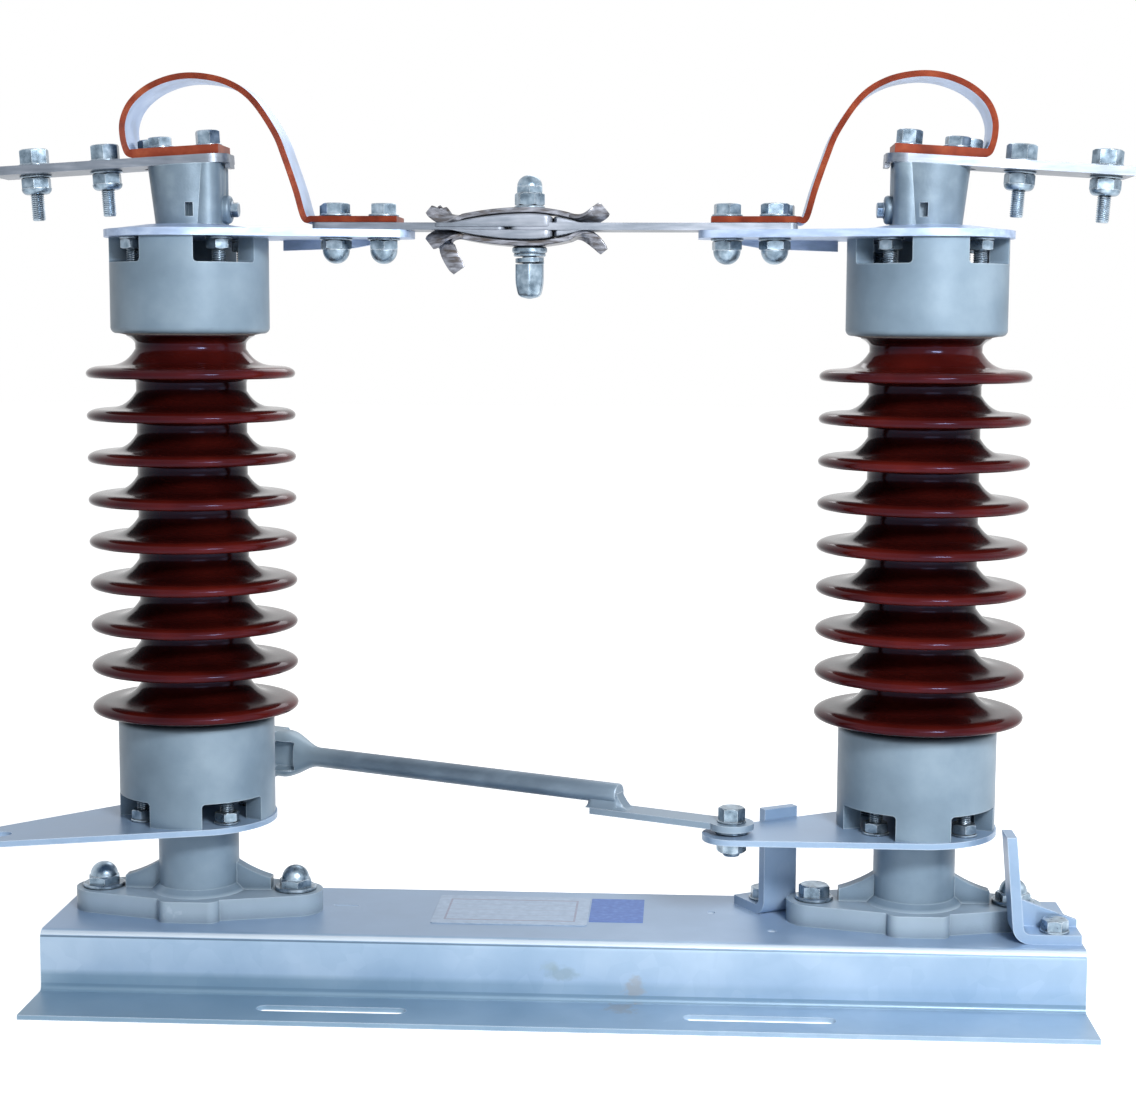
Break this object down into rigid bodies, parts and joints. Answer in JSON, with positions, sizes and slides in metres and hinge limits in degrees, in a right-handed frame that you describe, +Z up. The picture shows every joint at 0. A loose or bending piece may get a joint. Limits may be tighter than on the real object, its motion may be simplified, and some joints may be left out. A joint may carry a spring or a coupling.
{
  "type": "disconnect switch",
  "caption": "Horizontal centre-break disconnect switch: two turning porcelain columns on a steel channel carry contact arms that part when a cross link swings them.",
  "frame": {"origin": "centre of the four base slots, on the underside of the base flanges, midway between the two insulator columns", "axes": "+X along the base channel from the column with the drive lever to the column with the contact fingers, +Y across the channel, away from the side the arms swing to, +Z up along the columns"},
  "size_m": [0.9216, 0.3227, 0.7468],
  "materials": {
    "galvanised_sheet": "matt hot-dip galvanised",
    "galvanised_casting": "galvanised casting",
    "plated_bolts": "zinc plated",
    "steel": "machined",
    "porcelain": "glossy oxblood glaze",
    "aluminium": "cast and rolled",
    "tinned_copper": "tinned copper with bare edges",
    "copper": "bare copper edge",
    "contact_alloy": "dull silver-nickel plate"
  },
  "bodies": {
    "base": {"base_channel": "galvanised_sheet", "left_bearing_housing": "galvanised_casting", "right_bearing_housing": "galvanised_casting", "left_housing_bolts": "plated_bolts", "right_housing_bolts": "plated_bolts", "open_stop_bracket": "galvanised_sheet", "open_stop_bolt": "plated_bolts", "closed_stop_bracket": "galvanised_sheet", "closed_stop_bolt": "plated_bolts"},
    "left_column": {"left_spindle": "steel", "left_drive_lever": "galvanised_sheet", "left_bottom_cap": "galvanised_casting", "left_insulator": "porcelain", "left_top_cap": "galvanised_casting", "left_arm_plate": "aluminium", "left_contact_blade": "copper", "left_arm_bolts": "plated_bolts", "left_copper_strap": "tinned_copper"},
    "right_column": {"right_spindle": "steel", "right_link_lever": "galvanised_sheet", "right_bottom_cap": "galvanised_casting", "right_insulator": "porcelain", "right_top_cap": "galvanised_casting", "right_arm_plate": "aluminium", "right_contact_bar": "tinned_copper", "right_arm_bolts": "plated_bolts", "right_copper_strap": "tinned_copper", "upper_contact_finger": "contact_alloy", "lower_contact_finger": "contact_alloy", "contact_clamp_bolt": "plated_bolts", "contact_spring": "steel"},
    "left_terminal": {"left_terminal_post": "aluminium", "left_terminal_plate": "tinned_copper", "left_terminal_bolts": "plated_bolts", "left_strap_bolts": "plated_bolts"},
    "right_terminal": {"right_terminal_post": "aluminium", "right_terminal_plate": "tinned_copper", "right_terminal_bolts": "plated_bolts", "right_strap_bolts": "plated_bolts"},
    "link": {"link_rod": "galvanised_sheet", "link_tongue": "galvanised_sheet", "link_pivot_bolt": "plated_bolts"}
  },
  "joints": [
    {"name": "left_column_turn", "type": "hinge", "parent": "base", "child": "left_column", "pos_m": [-0.3, 0, 0.132], "axis": [0, 0, -1], "range_deg": [0, 90]},
    {"name": "right_column_turn", "type": "hinge", "parent": "base", "child": "right_column", "pos_m": [0.3, 0, 0.132], "axis": [0, 0, 1], "range_deg": [0, 90]},
    {"name": "link_swing", "type": "hinge", "parent": "right_column", "child": "link", "pos_m": [0.14775, -0.04222, 0.14375], "axis": [0, 0, -1], "range_deg": [0, 83.7]},
    {"name": "left_terminal_swivel", "type": "hinge", "parent": "left_column", "child": "left_terminal", "pos_m": [-0.3, 0, 0.64], "axis": [0, 0, 1], "range_deg": [0, 90], "deforming": ["left_copper_strap"]},
    {"name": "right_terminal_swivel", "type": "hinge", "parent": "right_column", "child": "right_terminal", "pos_m": [0.3, 0, 0.64], "axis": [0, 0, -1], "range_deg": [0, 90], "deforming": ["right_copper_strap"]}
  ],
  "couplings": [
    {"joint": "right_column_turn", "follows": "left_column_turn", "ratio": 1},
    {"joint": "link_swing", "follows": "left_column_turn", "ratio": 0.92999}
  ]
}
